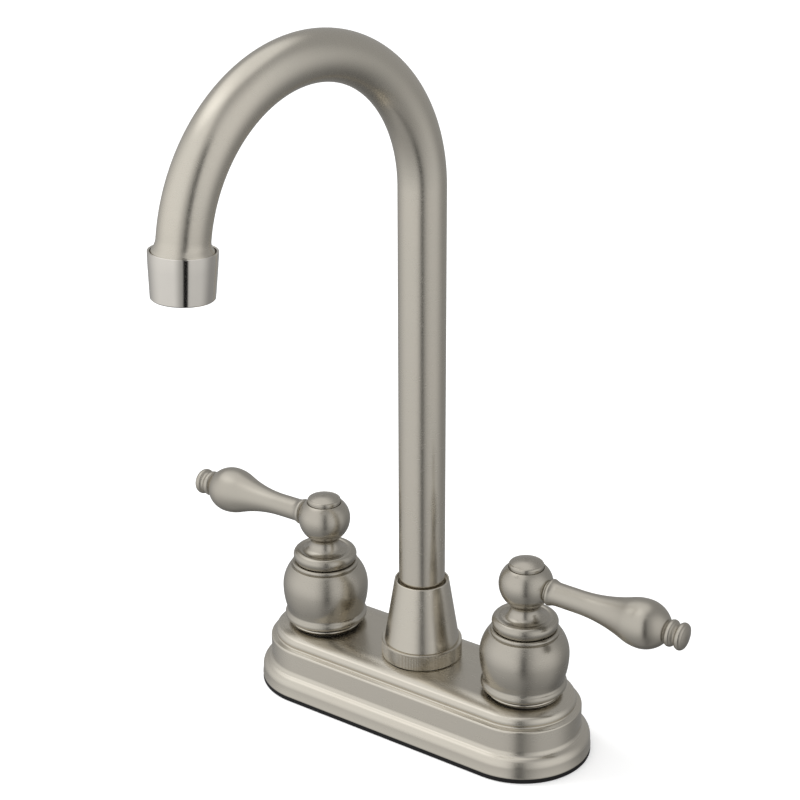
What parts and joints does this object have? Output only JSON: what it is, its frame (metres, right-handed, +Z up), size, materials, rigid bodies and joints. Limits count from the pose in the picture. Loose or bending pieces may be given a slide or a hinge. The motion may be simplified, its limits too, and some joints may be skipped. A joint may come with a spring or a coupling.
{
  "type": "gooseneck bar faucet",
  "caption": "Deck-mounted bar faucet with a swivelling gooseneck spout, two turned lever handles and a moulded stadium base on threaded shanks.",
  "frame": {"origin": "centre of the deck gasket's underside, on the spout's axis", "axes": "+X from the hot handle to the cold handle, +Y towards the wall, +Z up; the user stands on the -Y side"},
  "size_m": [0.2466, 0.1623, 0.3515],
  "materials": {
    "satin_nickel": "satin nickel plate, finely brushed round the turned parts",
    "bright_nickel": "polished nickel plate",
    "brass": "machined brass",
    "steel": "plain stainless steel",
    "black_rubber": "matte black",
    "nylon": "natural white nylon",
    "ceramic": "lapped white ceramic"
  },
  "bodies": {
    "fixture": {"base_cover": "satin_nickel", "deck_gasket": "black_rubber", "spout_hub": "brass", "nut_washer": "black_rubber", "spout_nut": "satin_nickel", "spout_cone": "satin_nickel", "glide_ring": "nylon", "hot_shank": "brass", "hot_body": "brass", "hot_cross_tube": "brass", "hot_cover_nut": "brass", "hot_cartridge": "brass", "hot_seat_seal": "black_rubber", "hot_fixed_disc": "ceramic", "hot_bell_ring": "black_rubber", "hot_bell": "satin_nickel", "hot_deck_washer": "steel", "hot_locknut": "brass", "cold_shank": "brass", "cold_body": "brass", "cold_cross_tube": "brass", "cold_cover_nut": "brass", "cold_cartridge": "brass", "cold_seat_seal": "black_rubber", "cold_fixed_disc": "ceramic", "cold_bell_ring": "black_rubber", "cold_bell": "satin_nickel", "cold_deck_washer": "steel", "cold_locknut": "brass"},
    "hot_handle": {"hot_turning_disc": "ceramic", "hot_stem": "brass", "hot_stem_oring": "black_rubber", "hot_hub": "satin_nickel", "hot_lever": "satin_nickel", "hot_screw": "steel", "hot_cap": "satin_nickel"},
    "cold_handle": {"cold_turning_disc": "ceramic", "cold_stem": "brass", "cold_stem_oring": "black_rubber", "cold_hub": "satin_nickel", "cold_lever": "satin_nickel", "cold_screw": "steel", "cold_cap": "satin_nickel"},
    "spout": {"spout_foot": "brass", "spout_orings": "black_rubber", "spout_tube": "satin_nickel", "aerator_shell": "bright_nickel", "aerator_washer": "black_rubber", "aerator_insert": "steel"}
  },
  "joints": [
    {"name": "spout_swivel", "type": "hinge", "parent": "fixture", "child": "spout", "pos_m": [0, 0, 0.03], "axis": [0, 0, 1], "continuous": true},
    {"name": "hot_valve", "type": "hinge", "parent": "fixture", "child": "hot_handle", "pos_m": [-0.0508, 0, 0.05], "axis": [0, 0, 1], "range_deg": [0, 90]},
    {"name": "cold_valve", "type": "hinge", "parent": "fixture", "child": "cold_handle", "pos_m": [0.0508, 0, 0.05], "axis": [0, 0, 1], "range_deg": [-90, 0]}
  ]
}
